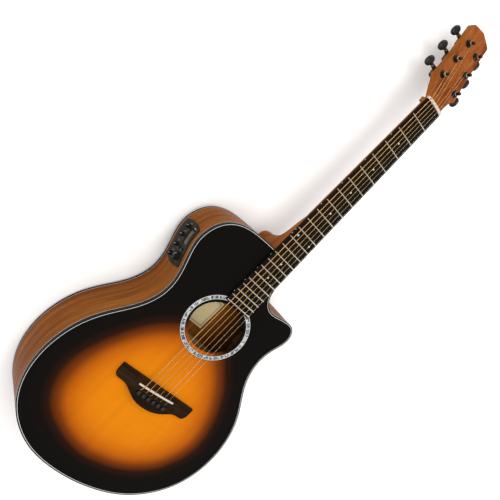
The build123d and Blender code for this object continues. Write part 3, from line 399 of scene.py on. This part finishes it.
def smooth_cad(o, width):
    for p in o.data.polygons:
        p.use_smooth = True
    if "custom_normal" in o.data.attributes:
        o.data.attributes.remove(o.data.attributes["custom_normal"])
    w = o.modifiers.new("weld", "WELD")
    w.merge_threshold = 0.000004
    b = o.modifiers.new("bevel", "BEVEL")
    b.width = width / 1000.0
    b.segments = 3 if width >= 0.3 else 2
    b.limit_method = "ANGLE"
    b.angle_limit = math.radians(32)
    b.harden_normals = True
    b.use_clamp_overlap = True
    b.miter_outer = "MITER_ARC"


for name, o in NODES.items():
    key = SLOTS.get(name)
    if key is None:
        key = "knob" if name.startswith("knob") else "black_gloss"
    o.data.materials.clear()
    o.data.materials.append(M[key].m)
    smooth_cad(o, BEVEL.get(name, 0.08))


# ------------------------------------------------------------------ mesh tools
def make(name, verts, faces, mat, mtx=None, smooth=True, uvs=None):
    me = bpy.data.meshes.new(name)
    me.from_pydata([tuple(v) for v in verts], [], faces)
    me.validate()
    if uvs is not None:
        uv = me.uv_layers.new(name="UVMap")
        for lp in me.loops:
            uv.data[lp.index].uv = uvs[lp.vertex_index]
    if smooth:
        for p in me.polygons:
            p.use_smooth = True
    ob = bpy.data.objects.new(name, me)
    bpy.context.scene.collection.objects.link(ob)
    if mtx is not None:
        me.transform(mtx)
    me.update()
    me.materials.append(mat.m)
    return ob


def recalc(ob):
    bm = bmesh.new()
    bm.from_mesh(ob.data)
    bmesh.ops.recalc_face_normals(bm, faces=bm.faces)
    bm.to_mesh(ob.data)
    bm.free()
    ob.data.update()


def lathe_data(profile, seg=48, base=0):
    """Profile of (r, h) from the bottom up; r = 0 ends close on the axis."""
    verts, rings = [], []
    for r, h in profile:
        if r <= 1e-9:
            rings.append([base + len(verts)])
            verts.append((0, 0, h))
        else:
            ids = []
            for i in range(seg):
                a = 2 * math.pi * i / seg
                ids.append(base + len(verts))
                verts.append((r * math.cos(a), r * math.sin(a), h))
            rings.append(ids)
    faces = []
    for a, b in zip(rings[:-1], rings[1:]):
        if len(a) == 1 and len(b) == 1:
            continue
        for i in range(seg):
            j = (i + 1) % seg
            if len(a) == 1:
                faces.append((a[0], b[j], b[i]))
            elif len(b) == 1:
                faces.append((a[i], a[j], b[0]))
            else:
                faces.append((a[i], a[j], b[j], b[i]))
    return verts, faces


def rounded(profile, r=0.3, n=3):
    """Rounds the corners of a lathe profile (mm)."""
    out = [profile[0]]
    for a, b, c in zip(profile[:-2], profile[1:-1], profile[2:]):
        va = Vector((a[0] - b[0], a[1] - b[1]))
        vc = Vector((c[0] - b[0], c[1] - b[1]))
        la, lc = va.length, vc.length
        rr = min(r, la * 0.45, lc * 0.45)
        if rr < 1e-6 or abs(va.angle(vc) - math.pi) < 0.05:
            out.append(b)
            continue
        p0 = Vector(b) + va.normalized() * rr
        p2 = Vector(b) + vc.normalized() * rr
        for k in range(n + 1):
            t = k / n
            q = (1 - t) ** 2 * p0 + 2 * t * (1 - t) * Vector(b) + t * t * p2
            out.append((q.x, q.y))
    out.append(profile[-1])
    return out


def mm(profile):
    return [(r / 1000.0, h / 1000.0) for r, h in profile]


def frame_at(origin, z):
    z = Vector(z).normalized()
    ref = Vector((0, 0, 1)) if abs(z.z) < 0.9 else Vector((0, 1, 0))
    x = ref.cross(z).normalized()
    y = z.cross(x)
    return Matrix(((x.x, y.x, z.x, origin[0]), (x.y, y.y, z.y, origin[1]), (x.z, y.z, z.z, origin[2]), (0, 0, 0, 1)))


def catmull(pts, n):
    out = []
    q = [pts[0] + (pts[0] - pts[1])] + list(pts) + [pts[-1] + (pts[-1] - pts[-2])]
    for i in range(1, len(q) - 2):
        p0, p1, p2, p3 = q[i - 1], q[i], q[i + 1], q[i + 2]
        for k in range(n):
            t = k / n
            out.append(0.5 * ((2 * p1) + (p2 - p0) * t + (2 * p0 - 5 * p1 + 4 * p2 - p3) * t * t + (3 * p1 - p0 - 3 * p2 + p3) * t ** 3))
    out.append(pts[-1])
    return out


def tube_data(path, radius, sides=12):
    """Round tube with closed ends along a list of points; radius may be a list."""
    verts, faces, uvs = [], [], []
    n = len(path)
    rad = radius if isinstance(radius, (list, tuple)) else [radius] * n
    tans = []
    for i in range(n):
        a = path[max(0, i - 1)]
        b = path[min(n - 1, i + 1)]
        tans.append((b - a).normalized())
    ref = Vector((0, 0, 1)) if abs(tans[0].z) < 0.9 else Vector((1, 0, 0))
    x = tans[0].cross(ref).normalized()
    length = 0.0
    for i in range(n):
        t = tans[i]
        x = (x - t * x.dot(t)).normalized()
        y = t.cross(x)
        if i:
            length += (path[i] - path[i - 1]).length
        for k in range(sides):
            a = 2 * math.pi * k / sides
            verts.append(path[i] + (x * math.cos(a) + y * math.sin(a)) * rad[i])
            uvs.append((k / sides, length))
    for i in range(n - 1):
        for k in range(sides):
            k2 = (k + 1) % sides
            faces.append((i * sides + k, i * sides + k2, (i + 1) * sides + k2, (i + 1) * sides + k))
    c0 = len(verts)
    verts.append(path[0] - tans[0] * rad[0] * 0.5)
    uvs.append((0.5, 0))
    c1 = len(verts)
    verts.append(path[-1] + tans[-1] * rad[-1] * 0.5)
    uvs.append((0.5, length))
    for k in range(sides):
        k2 = (k + 1) % sides
        faces.append((c0, k2, k))
        faces.append((c1, (n - 1) * sides + k, (n - 1) * sides + k2))
    return verts, faces, uvs


def place(ob, body, node=None):
    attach(ob, body)
    if node:
        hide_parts(node)
    return ob


# ------------------------------------------------------------------ strings
POSTS = [(-22.9, 53.8), (-19.2, 95.5), (-15.3, 137.3), (15.3, 137.3), (19.2, 95.5), (22.9, 53.8)]
STR_R = [0.67, 0.53, 0.42, 0.32, 0.22, 0.17]
BOARD_R = 400.0
Z_NUT, Z_SAD = 0.5, 4.0
SAD_B, SAD_T = (-37.5, -657.3), (37.5, -653.8)
PIN_Y, PIN_PITCH = -669.3, 11.2
BR_TOP = 1.5
HS = 4.4
HEAD_INV = HEAD.inverted()


def str_x(i, y):
    a = -17.5 + 35.0 * i / 5
    b = -26.25 + 52.5 * i / 5
    return a + (b - a) * (-y) / 655.0


TANG = []
for i in range(6):
    r = STR_R[i]
    xn, xs = str_x(i, 0), str_x(i, -655)
    k = (xs - SAD_B[0]) / (SAD_T[0] - SAD_B[0])
    ys = SAD_B[1] + k * (SAD_T[1] - SAD_B[1])
    zn = Z_NUT - xn * xn / (2 * BOARD_R) + r
    zs = Z_SAD - xs * xs / (2 * BOARD_R) + r
    xp, sp = POSTS[i]
    inner = 1 if xp < 0 else -1
    nb = P(xn * 0.99, 5.0, zn - 0.15)
    loc = HEAD_INV @ nb * 1000.0
    rho = 3.0 + r + 0.12
    dx, ds = xp - loc.x, sp - loc.y
    dist = math.hypot(dx, ds)
    ang = math.atan2(ds, dx) - inner * math.asin(rho / dist)
    L = math.sqrt(dist * dist - rho * rho)
    hh = HS + (1.0 if i in (2, 3) else 0.0)
    tx, ts = loc.x + L * math.cos(ang), loc.y + L * math.sin(ang)
    TANG.append((tx, ts, hh, inner, r))
    tp = H(tx, ts, hh)
    px = (-2.5 + i) * PIN_PITCH
    path = [tp + (nb - tp) * (j / 8.0) for j in range(8)]
    path += [nb, P(xn * 0.995, 2.5, zn + 0.02), P(xn, 0.0, zn)]
    a, b = P(xn, 0, zn), P(xs, ys, zs)
    path += [a + (b - a) * (j / 40.0) for j in range(1, 40)]
    path += [b]
    c = P(px, PIN_Y + 3.2, BR_TOP - 0.2)
    path += [b + (c - b) * t for t in (0.12, 0.3, 0.5, 0.7, 0.88)] + [c, P(px, PIN_Y + 2.8, BR_TOP - 2.5), P(px, PIN_Y + 2.7, BR_TOP - 6.0)]
    v, f, uv = tube_data(path, r / 1000.0, 12)
    ob = make("string_%d" % (i + 1), v, f, M["wound"] if i < 4 else M["steel"], uvs=uv)
    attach(ob, "guitar")
    if i < 4:
        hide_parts("strings_wound")
    else:
        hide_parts("strings_plain")

# ------------------------------------------------------------------ tuner posts, windings and keys
for k, (xp, sp) in enumerate(POSTS):
    n = k + 1
    tx, ts, hh, inner, r = TANG[k]
    mtx = HEAD @ Matrix.Translation((xp / 1000.0, sp / 1000.0, 0))
    cz0 = hh + r + 0.12
    turns = 3 if k < 4 else 4
    top_w = cz0 + turns * 2 * r
    prof = [(0, -20.1), (2.9, -20.1), (3.0, -19.6), (3.0, cz0 - 1.0), (2.86, cz0 + 0.2), (2.72, (cz0 + top_w) / 2),
            (2.80, top_w + 0.4), (2.98, top_w + 1.4), (3.0, 12.2), (2.92, 12.9), (2.6, 13.35), (2.0, 13.55), (0, 13.6)]
    v, f = lathe_data(mm(prof), 48)
    post = make("post_%d" % n, v, f, M["black_metal"], mtx)
    recalc(post)
    # cross hole, cut as a real hole
    hole_h = top_w + 1.3
    cut = bpy.data.meshes.new("cut")
    bm = bmesh.new()
    bmesh.ops.create_cone(bm, cap_ends=True, segments=20, radius1=0.0009, radius2=0.0009, depth=0.02,
                          matrix=mtx @ Matrix.Translation((0, 0, hole_h / 1000.0)) @ Matrix.Rotation(math.radians(90), 4, "Y") @ Matrix.Rotation(0.4, 4, "X"))
    bm.to_mesh(cut)
    bm.free()
    co = bpy.data.objects.new("cut", cut)
    bpy.context.scene.collection.objects.link(co)
    bo = post.modifiers.new("b", "BOOLEAN")
    bo.object = co
    bo.solver = "EXACT"
    bpy.context.view_layer.update()
    dg = bpy.context.evaluated_depsgraph_get()
    nm = bpy.data.meshes.new_from_object(post.evaluated_get(dg))
    post.modifiers.clear()
    post.data = nm
    bpy.data.objects.remove(co)
    for p in post.data.polygons:
        p.use_smooth = True
    post.data.set_sharp_from_angle(angle=math.radians(40))
    place(post, "post_%d" % n, "tuner_post_%d" % n)
    # helical windings that end in the cross hole
    path = []
    a_start = math.atan2(ts - sp, tx - xp)
    steps = turns * 28
    sgn = inner
    for j in range(steps + 1):
        a = a_start + sgn * 2 * math.pi * turns * j / steps
        rr = 3.0 + r * 0.98
        z = cz0 + r * 0.2 + (top_w - cz0 - r * 1.2) * j / steps
        path.append(Vector((rr * math.cos(a), rr * math.sin(a), z)) / 1000.0)
    a_end = a_start + sgn * 2 * math.pi * turns
    d = Vector((-math.sin(a_end) * sgn, math.cos(a_end) * sgn, 0))
    last = path[-1] * 1000.0
    path.append((last + d * 1.2 + Vector((0, 0, r * 0.9)) + Vector((-math.cos(a_end), -math.sin(a_end), 0)) * 0.25) / 1000.0)
    path.append((last * 0.86 + d * 2.4 + Vector((0, 0, hole_h - last.z * 0.86 - 0.1))) / 1000.0)
    v, f, uv = tube_data(path, r / 1000.0, 10)
    coil = make("windings_%d" % n, v, f, M["wound"] if k < 4 else M["steel"], mtx, uvs=uv)
    place(coil, "post_%d" % n)

    # key: shaft, collar and oval button, in one closed mesh each
    sg = -1 if xp < 0 else 1
    kx = HEAD @ Matrix.Translation((xp / 1000.0, (sp + 7.0) / 1000.0, -0.0175)) @ Matrix.Rotation(math.radians(90 * sg), 4, "Y")
    prof = rounded([(0, -6), (2.4, -6), (2.4, 6), (1.75, 6.2), (1.75, 16.4), (2.9, 16.6), (3.3, 17.6), (2.9, 19.6), (2.2, 21), (0, 21)], 0.25, 2)
    v, f = lathe_data(mm(prof), 40)
    shaft = make("key_shaft_%d" % n, v, f, M["black_metal"], kx)
    recalc(shaft)
    place(shaft, "key_%d" % n, "tuner_key_%d" % n)
    # oval button: flat faces that roll over at a soft rim, slightly waisted toward the collar
    verts, faces = [], []
    NU, NV = 56, 16
    for iv in range(NV + 1):
        t = -math.pi / 2 + math.pi * iv / NV
        cv = abs(math.cos(t)) ** (2 / 3.4)
        sv = math.copysign(abs(math.sin(t)) ** (2 / 2.6), math.sin(t))
        if iv in (0, NV):
            verts.append((0, 0, 3.95 * sv))
            continue
        for iu in range(NU):
            u = 2 * math.pi * iu / NU
            ca, sa = math.cos(u), math.sin(u)
            x = 7.6 * math.copysign(abs(ca) ** (2 / 2.25), ca) * cv
            y = 10.0 * math.copysign(abs(sa) ** (2 / 2.1), sa) * cv
            y *= 1.0 + 0.05 * x / 7.6 if x < 0 else 1.0
            z = 3.95 * sv * (1 - 0.10 * (1 - abs(x) / 7.6) * cv)
            verts.append((x, y, z))
    ring = lambda q: 1 + (q - 1) * NU
    for iu in range(NU):
        j = (iu + 1) % NU
        faces.append((0, ring(1) + j, ring(1) + iu))
        for q in range(1, NV - 1):
            faces.append((ring(q) + iu, ring(q) + j, ring(q + 1) + j, ring(q + 1) + iu))
        faces.append((len(verts) - 1, ring(NV - 1) + iu, ring(NV - 1) + j))
    rot = Matrix.Rotation(math.radians(22.0), 4, "X")
    bm_ = HEAD @ Matrix.Translation(((xp + sg * 26.4) / 1000.0, (sp + 7.0) / 1000.0, -0.0175)) @ rot @ Matrix.Scale(0.001, 4)
    if sg < 0:
        bm_ = HEAD @ Matrix.Translation(((xp + sg * 26.4) / 1000.0, (sp + 7.0) / 1000.0, -0.0175)) @ rot @ Matrix.Scale(0.001, 4) @ Matrix.Diagonal((-1, 1, 1, 1))
    button = make("key_button_%d" % n, verts, faces, M["black_gloss"], bm_)
    recalc(button)
    place(button, "key_%d" % n)

# ------------------------------------------------------------------ bridge pins
for i in range(6):
    x = (-2.5 + i) * PIN_PITCH
    z = BR_TOP
    prof = [(0, z - 21), (1.85, z - 21), (2.5, z - 0.2), (2.5, z), (3.25, z + 0.02), (3.3, z + 0.7), (2.75, z + 1.15), (3.2, z + 1.6), (3.8, z + 2.1), (3.93, z + 2.7),
            (3.75, z + 3.5), (3.2, z + 4.2), (2.2, z + 4.7), (1.1, z + 4.95), (0, z + 5.0)]
    v, f = lathe_data(mm([(r, h) for r, h in prof]), 40)
    ob = make("bridge_pin_%d" % (i + 1), v, f, M["black_gloss"], Matrix.Translation((x / 1000.0, PIN_Y / 1000.0 + SY, SZ)))
    recalc(ob)
    place(ob, "guitar", "bridge_pins")

# ------------------------------------------------------------------ preamp controls
for name, jn, rad, hgt, ribs in (("knob_bass", "knob_bass_turn", 3.6, 6.4, 18), ("knob_middle", "knob_middle_turn", 3.6, 6.4, 18),
                                 ("knob_treble", "knob_treble_turn", 3.6, 6.4, 18), ("knob_presence", "knob_presence_turn", 3.6, 6.4, 18),
                                 ("knob_volume", "knob_volume_turn", 7.0, 7.2, 30)):
    j = JOINTS[jn]
    fm = frame_at(j["pos_m"], j["axis"])
    base = 2.5
    prof = rounded([(0, -4.3), (rad * 0.5, -4.3), (rad * 0.5, base), (rad * 1.0, base), (rad * 0.97, base + hgt - 0.9), (rad * 0.86, base + hgt), (rad * 0.62, base + hgt - 0.15), (0, base + hgt - 0.25)], 0.35, 3)
    seg = ribs * 6
    verts, faces = lathe_data(mm(prof), seg)
    out = []
    for vx, vy, vz in verts:
        rr = math.hypot(vx, vy) * 1000
        zz = vz * 1000
        if rr > rad * 0.9 and base + 0.3 < zz < base + hgt - 0.5:
            a = math.atan2(vy, vx)
            sc = 1 - 0.045 * (0.5 + 0.5 * math.cos(a * ribs))
            vx, vy = vx * sc, vy * sc
        out.append((vx, vy, vz))
    ob = make(name + "_cap", out, faces, M["knob"], fm)
    recalc(ob)
    place(ob, name, name)
    # raised pointer line on the crown and down the skirt
    w = 0.28 if rad < 5 else 0.4
    z1 = base + hgt
    vs, fs = [], []
    prof2 = [(rad * 0.18, z1 - 0.22), (rad * 0.62, z1 - 0.1), (rad * 0.86, z1 + 0.05), (rad * 0.985, z1 - 1.0), (rad * 0.99, z1 - 2.4)]
    for q, (rr, zz) in enumerate(prof2):
        for s in (-1, 1):
            vs.append((s * w / 1000.0, rr / 1000.0, zz / 1000.0))
        for s in (-1, 1):
            vs.append((s * w / 1000.0, (rr - 0.3) / 1000.0, (zz - 0.3) / 1000.0))
    for q in range(len(prof2) - 1):
        a = q * 4
        b = a + 4
        fs += [(a, a + 1, b + 1, b), (a + 2, b + 2, b + 3, a + 3), (a, b, b + 2, a + 2), (a + 1, a + 3, b + 3, b + 1)]
    fs += [(0, 2, 3, 1), (len(vs) - 4, len(vs) - 3, len(vs) - 1, len(vs) - 2)]
    pt = make(name + "_pointer", vs, fs, M["mark"], fm @ Matrix.Rotation(0.9 if rad > 5 else 0.3, 4, "Z"), smooth=False)
    recalc(pt)
    place(pt, name)

# painted shadow strip along the display's lower edge, rules and pointer marks on the preamp panel, each a thin raised
# or sunk piece that follows the panel's curve
PANEL = NODES["preamp_panel"]
from mathutils.bvhtree import BVHTree
pbm = bmesh.new()
pbm.from_mesh(PANEL.data)
PTREE = BVHTree.FromBMesh(pbm)
pbm.free()
DIR = Vector((-math.cos(math.radians(18.0)), -math.sin(math.radians(18.0)), 0.0))


def on_panel(y, z):
    """Point on the panel's outer face at this height and length, with its normal."""
    o = Vector((-0.30, y / 1000.0 + SY, z / 1000.0 + SZ))
    hit = PTREE.ray_cast(o, Vector((1, 0, 0)), 0.4)
    return hit[0], hit[1]


def strip(name, y0, y1, z0, z1, lift, depth, mat, ny=10, nz=2, inset=0.0):
    """Patch of the panel between two lengths and two heights, given a thickness."""
    vs, fs = [], []
    W_ = ny + 1
    for k, off in enumerate((lift, -depth)):
        for a in range(nz + 1):
            for b in range(ny + 1):
                y = y0 + (y1 - y0) * b / ny
                z = z0 + (z1 - z0) * a / nz
                q, nn = on_panel(y, z)
                if q is None:
                    return None
                nn = Vector((nn.x, nn.y, 0)).normalized()
                if nn.x > 0:
                    nn = -nn
                vs.append(q + nn * (off / 1000.0))
    N = (nz + 1) * W_
    for a in range(nz):
        for b in range(ny):
            i0 = a * W_ + b
            fs.append((i0, i0 + 1, i0 + W_ + 1, i0 + W_))
            fs.append((N + i0, N + i0 + W_, N + i0 + W_ + 1, N + i0 + 1))
    for b in range(ny):
        fs.append((b, N + b, N + b + 1, b + 1))
        t = nz * W_ + b
        fs.append((t, t + 1, N + t + 1, N + t))
    for a in range(nz):
        l = a * W_
        fs.append((l, l + W_, N + l + W_, N + l))
        r_ = a * W_ + ny
        fs.append((r_, N + r_, N + r_ + W_, r_ + W_))
    ob = make(name, vs, fs, mat, smooth=False)
    recalc(ob)
    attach(ob, "guitar")
    return ob


def panel_y(node):
    j = JOINTS[node + ("_turn" if node.startswith("knob") else "_press")]
    if "pos_m" in j and j["pos_m"]:
        q = j["pos_m"]
        return (q[1] - SY) * 1000.0, (q[2] - SZ) * 1000.0
    lo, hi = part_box(node)
    return ((lo[1] + hi[1]) / 2 - SY) * 1000.0, ((lo[2] + hi[2]) / 2 - SZ) * 1000.0


# near-black material for the painted shadow strip under the display
M["painted_shadow_black"] = plain("painted_shadow_black", (0.003, 0.003, 0.003), rough=0.5, spec=0.02)
dlo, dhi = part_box("preamp_display")
dy0, dy1 = (dlo[1] - SY) * 1000.0, (dhi[1] - SY) * 1000.0
dz0 = (dlo[2] - SZ) * 1000.0
# painted shadow: a flat black strip along the display's lower edge stands in for the shade under its rim
strip("display_painted_shadow", dy0 - 2.0, dy1 + 1.5, dz0 - 4.6, dz0 - 0.5, 0.05, 0.6, M["painted_shadow_black"], ny=14)
for nme in ("knob_bass", "knob_middle", "knob_treble", "knob_presence"):
    y, z = panel_y(nme)
    strip(nme + "_mark_a", y + 4.6, y + 7.2, z + 1.2, z + 1.9, 0.05, 0.3, M["mark"], ny=3, nz=1)
    strip(nme + "_mark_b", y + 4.2, y + 6.0, z - 2.4, z - 1.8, 0.05, 0.3, M["mark"], ny=3, nz=1)
    strip(nme + "_mark_c", y - 6.0, y - 4.6, z + 3.4, z + 4.0, 0.05, 0.3, M["mark"], ny=3, nz=1)
y, z = panel_y("knob_volume")
strip("volume_mark_a", y + 7.8, y + 10.4, z - 0.5, z + 0.3, 0.05, 0.3, M["mark"], ny=3, nz=1)
strip("volume_mark_b", y - 9.4, y - 7.9, z + 3.2, z + 3.9, 0.05, 0.3, M["mark"], ny=3, nz=1)
strip("top_mark", dy1 + 4.0, dy1 + 5.2, dz0 + 1.5, dz0 + 9.0, 0.05, 0.3, M["mark"], ny=2, nz=4)

# ------------------------------------------------------------------ shell mosaic in the rosette ring
random.seed(11)
TINTS = [(222, 226, 226), (190, 198, 204), (140, 160, 176), (96, 120, 140), (48, 54, 84), (28, 26, 44), (214, 196, 140),
         (150, 112, 60), (84, 60, 92), (200, 206, 214), (236, 236, 232), (112, 140, 134), (58, 44, 40)]
WEI = [5, 4, 3, 3, 5, 5, 2, 2, 2, 3, 5, 2, 3]
verts, faces, tints = [], [], []
CY = -516.8
a = 0.0
while a < 2 * math.pi - 1e-4:
    step = random.choice((1.0, 1.3, 1.7, 2.1, 2.6, 3.2)) / 61.0
    if 2 * math.pi - (a + step) < 0.03:
        step = 2 * math.pi - a
    skew0, skew1 = (0.0, 0.0)
    lanes = random.choice((1, 2, 2, 3))
    cuts = [0.0] + sorted(0.22 + 0.56 * random.random() for _ in range(lanes - 1)) + [1.0]
    for q in range(lanes):
        f0, f1 = cuts[q], cuts[q + 1]
        g = 0.0018
        nsub = max(1, int(step * 61 / 1.0))
        base_i = len(verts)
        c = random.choices(TINTS, WEI)[0]
        jit = 0.92 + 0.12 * random.random()
        zz = -6.5 - 0.012
        for s in range(nsub + 1):
            aa = a + g + (step - 2 * g) * s / nsub
            for (f, z, ins) in ((f0, -7.6, 0.0), (f0, zz - 0.06, 0.0), (f0, zz, 0.09), (f1, zz, -0.09), (f1, zz - 0.06, 0.0), (f1, -7.6, 0.0)):
                rx = 59.10 + (64.40 - 59.10) * f + ins
                ry = 50.10 + (55.30 - 50.10) * f + ins
                verts.append(P(rx * math.cos(aa), CY + ry * math.sin(aa), z))
        for s in range(nsub):
            b0 = base_i + s * 6
            b1 = b0 + 6
            for e in range(6):
                e2 = (e + 1) % 6
                faces.append((b0 + e, b0 + e2, b1 + e2, b1 + e))
                tints.append((c, jit))
        faces.append(tuple(base_i + e for e in range(6)))
        tints.append((c, jit))
        faces.append(tuple(base_i + nsub * 6 + e for e in reversed(range(6))))
        tints.append((c, jit))
    a += step
# white lines that border the mosaic
for (ra, rb, qa, qb, nm) in ((58.03, 59.02, 49.03, 50.02, "inner"), (64.48, 65.47, 55.38, 56.37, "outer")):
    vs, fs = [], []
    NS = 200
    for q in range(NS):
        t = 2 * math.pi * q / NS
        for (rx, ry, z) in ((ra, qa, -7.6), (ra, qa, -6.56), (ra + 0.06, qa + 0.06, -6.51), (rb - 0.06, qb - 0.06, -6.51), (rb, qb, -6.56), (rb, qb, -7.6)):
            vs.append(P(rx * math.cos(t), CY + ry * math.sin(t), z))
    for q in range(NS):
        b0, b1 = q * 6, ((q + 1) % NS) * 6
        for e in range(6):
            e2 = (e + 1) % 6
            fs.append((b0 + e, b0 + e2, b1 + e2, b1 + e))
    rg = make("rosette_line_" + nm, vs, fs, M["white_line"], smooth=False)
    recalc(rg)
    place(rg, "guitar")
ros = make("rosette_mosaic", verts, faces, M["shell"], smooth=False)
recalc(ros)
ca = ros.data.color_attributes.new("tint", "FLOAT_COLOR", "CORNER")
for p in ros.data.polygons:
    c, jit = tints[p.index]
    cc = lin(c)
    for li in p.loop_indices:
        ca.data[li].color = (cc[0] * jit, cc[1] * jit, cc[2] * jit, 1)
place(ros, "guitar", "rosette")

# ------------------------------------------------------------------ floor, light, camera
def mat_floor():
    m = Mat("floor_paint", rough=0.85, spec=0.1)
    nz = m.noise(m.co, 3.0, 3.0, 0.5)
    m.color(m.ramp(nz, [(0.3, (0.94, 0.94, 0.94, 1)), (0.7, (0.96, 0.96, 0.96, 1))]))
    return m


bm = bmesh.new()
bmesh.ops.create_grid(bm, x_segments=8, y_segments=8, size=9.0)
fm = bpy.data.meshes.new("floor")
bm.to_mesh(fm)
bm.free()
floor = bpy.data.objects.new("floor", fm)
floor.location = (0, 0, BOX0[0][2] - 0.0005)
fm.materials.append(mat_floor().m)
bpy.context.scene.collection.objects.link(floor)


def area(name, loc, target, size, power, color=(1, 1, 1)):
    ld = bpy.data.lights.new(name, "AREA")
    ld.shape = "RECTANGLE"
    ld.size, ld.size_y = size
    ld.energy = power
    ld.color = color
    ob = bpy.data.objects.new(name, ld)
    ob.location = loc
    d = Vector(target) - Vector(loc)
    ob.rotation_euler = d.to_track_quat("-Z", "Y").to_euler()
    bpy.context.scene.collection.objects.link(ob)
    return ob


area("key", (-0.35, 2.0, 2.1), (0, 0, 0.05), (0.9, 0.9), 16.0, (1.0, 0.98, 0.95))
area("overhead", (-0.55, -0.30, 2.7), (0, -0.15, 0.05), (2.0, 2.0), 36.0, (1.0, 0.99, 0.97))
area("rim", (1.9, 1.2, 1.2), (0, 0, 0.05), (0.5, 0.9), 8.0, (1.0, 0.98, 0.95))
w = bpy.data.worlds.new("world")
bpy.context.scene.world = w
w.use_nodes = True
w.node_tree.nodes["Background"].inputs[0].default_value = (1, 1, 1, 1)
w.node_tree.nodes["Background"].inputs[1].default_value = 0.86

CAM_R = ((0.5813896973230818, 0.7001036612280673, 0.41453695056246936),
         (0.6259787425627239, -0.7103597945985024, 0.3217756611018997),
         (0.519746701486567, 0.07241426484491266, -0.8512458754912146))
cam_d = bpy.data.cameras.new("camera")
cam = bpy.data.objects.new("camera", cam_d)
bpy.context.scene.collection.objects.link(cam)
cam_d.sensor_width = 36.0
cam_d.sensor_fit = "HORIZONTAL"
cam_d.lens = 36.0 * 591.3958 / 500.0
cam_d.shift_x = (250.0 - 266.1526) / 500.0
cam_d.shift_y = (208.9613 - 250.0) / 500.0
cam_d.clip_start, cam_d.clip_end = 0.05, 50.0
R, D, F = (Vector(v) for v in CAM_R)
loc = P(-574.433, -391.515, 783.898)
cam.matrix_world = Matrix(((R.x, -D.x, -F.x, loc.x), (R.y, -D.y, -F.y, loc.y), (R.z, -D.z, -F.z, loc.z), (0, 0, 0, 1)))
bpy.context.scene.camera = cam
bpy.context.scene.view_settings.view_transform = "Standard"
bpy.context.scene.view_settings.look = "None"
